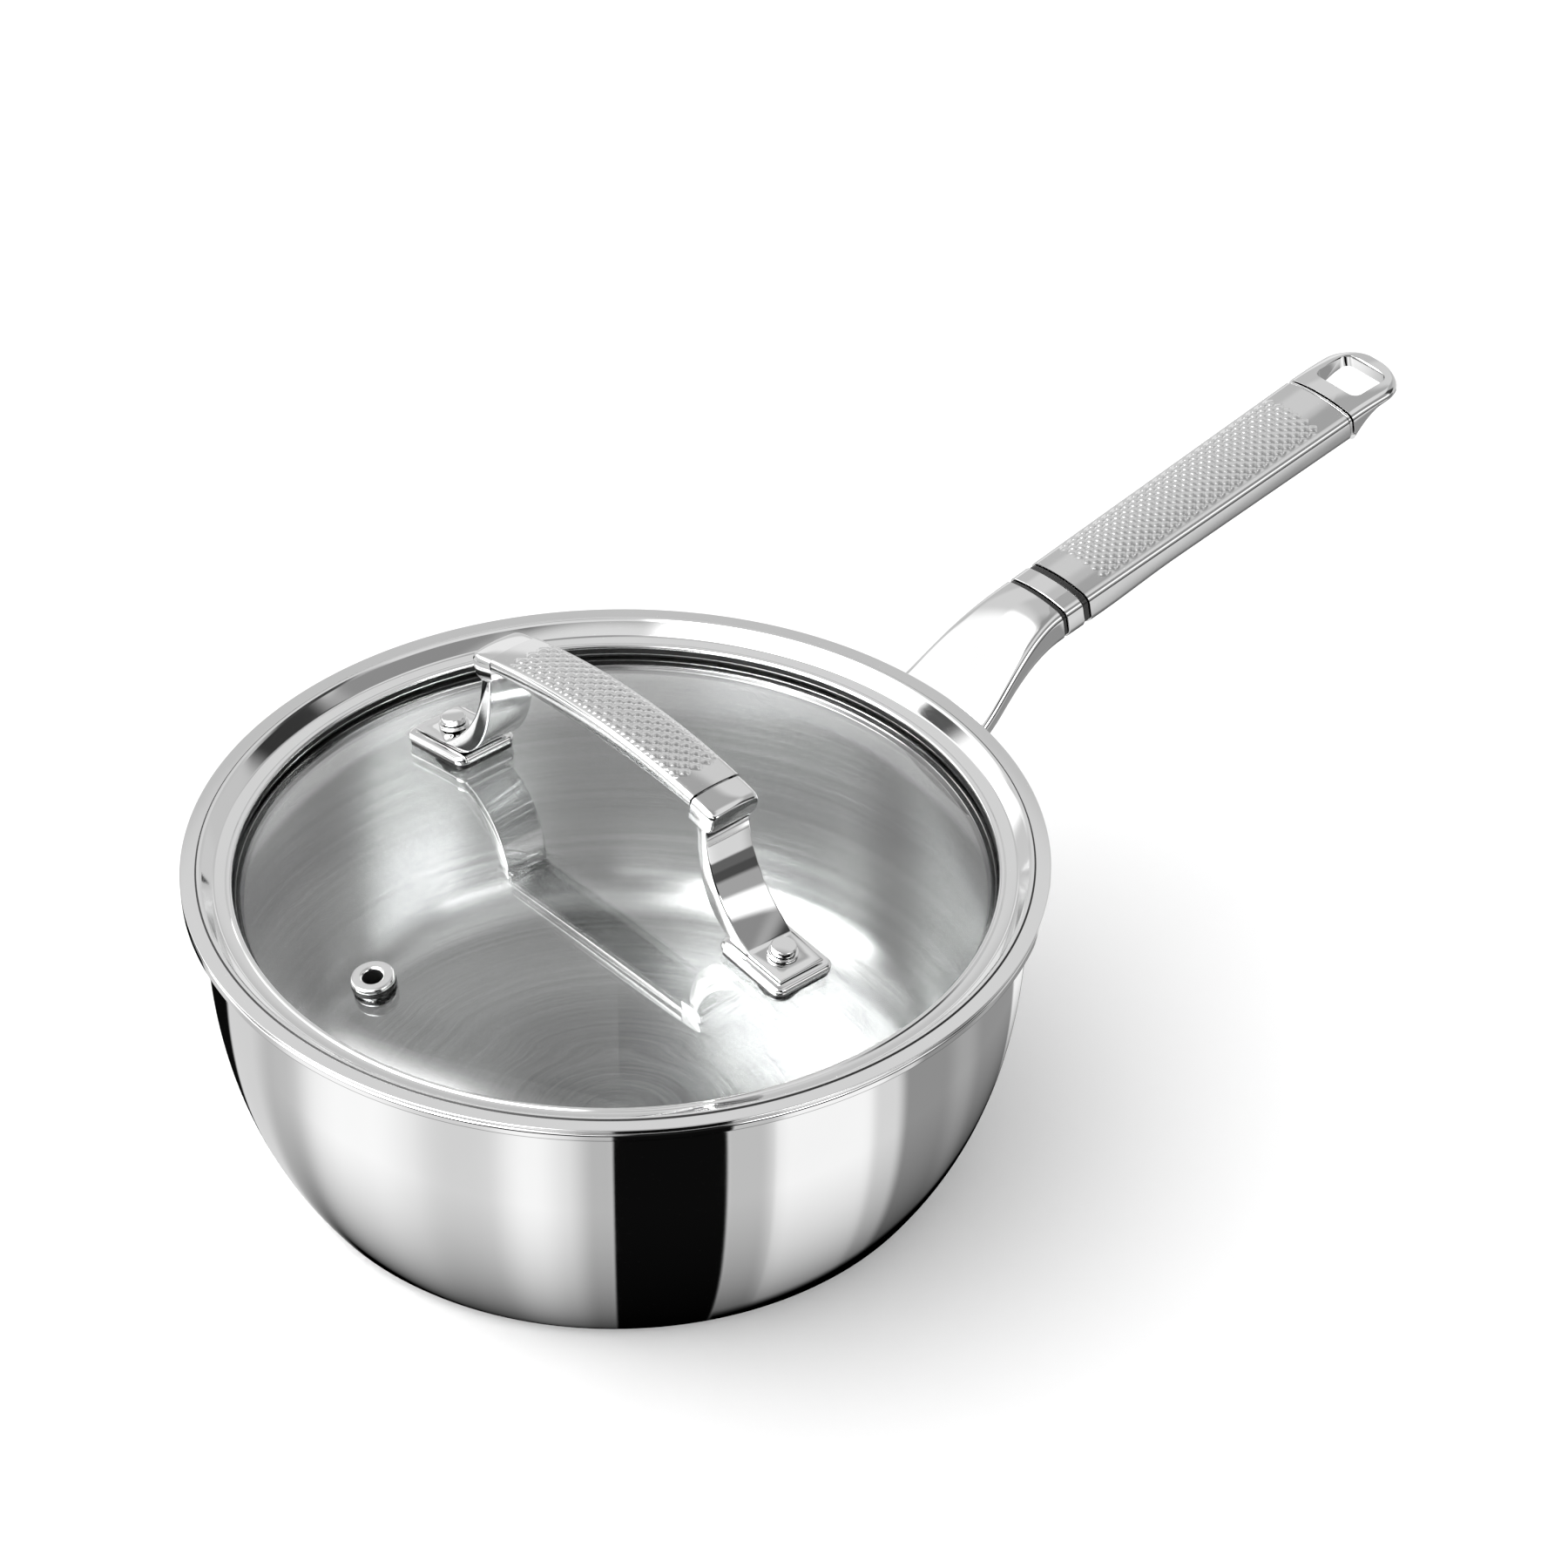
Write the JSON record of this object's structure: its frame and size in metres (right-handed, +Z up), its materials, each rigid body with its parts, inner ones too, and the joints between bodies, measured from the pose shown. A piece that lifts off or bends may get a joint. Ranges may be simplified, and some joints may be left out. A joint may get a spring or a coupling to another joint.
{
  "type": "saucepan with glass lid",
  "caption": "Flared steel saucepan with a knurled hollow handle ending in a hanging loop, and a lift-off domed glass lid with a steel rim, a vent and an arched knurled handle.",
  "frame": {"origin": "centre of the pan's flat base, on the surface it stands on", "axes": "+Z up along the pan's axis, +X along the long handle, Y along the lid handle"},
  "size_m": [0.3678, 0.214, 0.1305],
  "materials": {
    "pan_steel": "mirror-polished outside, circular brushed inside",
    "polished_steel": "polished stainless steel",
    "satin_steel": "satin stainless steel with rows of small pyramids",
    "dark_seal": "matt black silicone",
    "lid_glass": "clear tempered glass"
  },
  "bodies": {
    "pan": {"pan_body": "pan_steel", "handle_neck": "polished_steel", "front_seal_ring": "dark_seal", "handle_collar": "polished_steel", "rear_seal_ring": "dark_seal", "handle_grip": "satin_steel", "tail_ring": "polished_steel", "handle_end_loop": "polished_steel", "handle_tie_rod": "polished_steel"},
    "lid": {"lid_rim": "polished_steel", "lid_glass": "lid_glass", "vent_eyelet": "polished_steel", "vent_seal_outer": "dark_seal", "vent_seal_inner": "dark_seal", "lid_grip": "satin_steel", "lid_cap_left": "polished_steel", "lid_cap_right": "polished_steel", "lid_leg_left": "polished_steel", "lid_leg_right": "polished_steel", "foot_gasket_left": "dark_seal", "foot_gasket_right": "dark_seal", "foot_plate_left": "polished_steel", "foot_plate_right": "polished_steel", "stud_washer_left": "polished_steel", "stud_washer_right": "polished_steel", "handle_stud_left": "polished_steel", "handle_stud_right": "polished_steel", "nut_gasket_left": "dark_seal", "nut_gasket_right": "dark_seal", "cap_nut_left": "polished_steel", "cap_nut_right": "polished_steel"}
  },
  "joints": [
    {"name": "lid_lift", "type": "slide", "parent": "pan", "child": "lid", "axis": [0, 0, 1], "range_m": [0, 0.15]}
  ]
}
